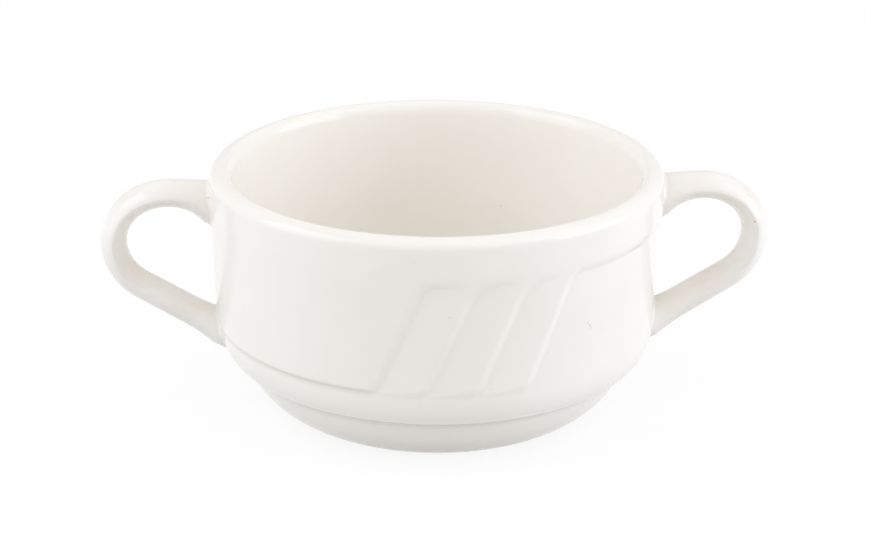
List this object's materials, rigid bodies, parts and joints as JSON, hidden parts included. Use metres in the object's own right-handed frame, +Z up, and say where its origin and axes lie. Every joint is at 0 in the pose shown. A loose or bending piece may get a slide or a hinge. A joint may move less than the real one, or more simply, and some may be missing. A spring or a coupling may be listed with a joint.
{
  "type": "lug soup bowl",
  "caption": "Round stacking soup bowl with a thick rolled lip, slanted moulded flutes on the wall, a stepped shoulder over a foot ring and loop handles at the sides.",
  "frame": {"origin": "centre of the foot ring's resting plane, on the bowl's axis", "axes": "+X towards the right handle, +Z up along the bowl's axis, -Y towards the front, where the relief faces the viewer"},
  "size_m": [0.1604, 0.108, 0.059],
  "materials": {
    "glazed_china": "warm ivory-white glossy glaze over vitrified china",
    "glazed_slip": "fired joining slip under the same glossy ivory glaze"
  },
  "bodies": {
    "root": {"bowl_body": "glazed_china", "right_handle": "glazed_china", "left_handle": "glazed_china", "right_upper_slip_joint": "glazed_slip", "right_lower_slip_joint": "glazed_slip", "left_upper_slip_joint": "glazed_slip", "left_lower_slip_joint": "glazed_slip"}
  },
  "joints": []
}
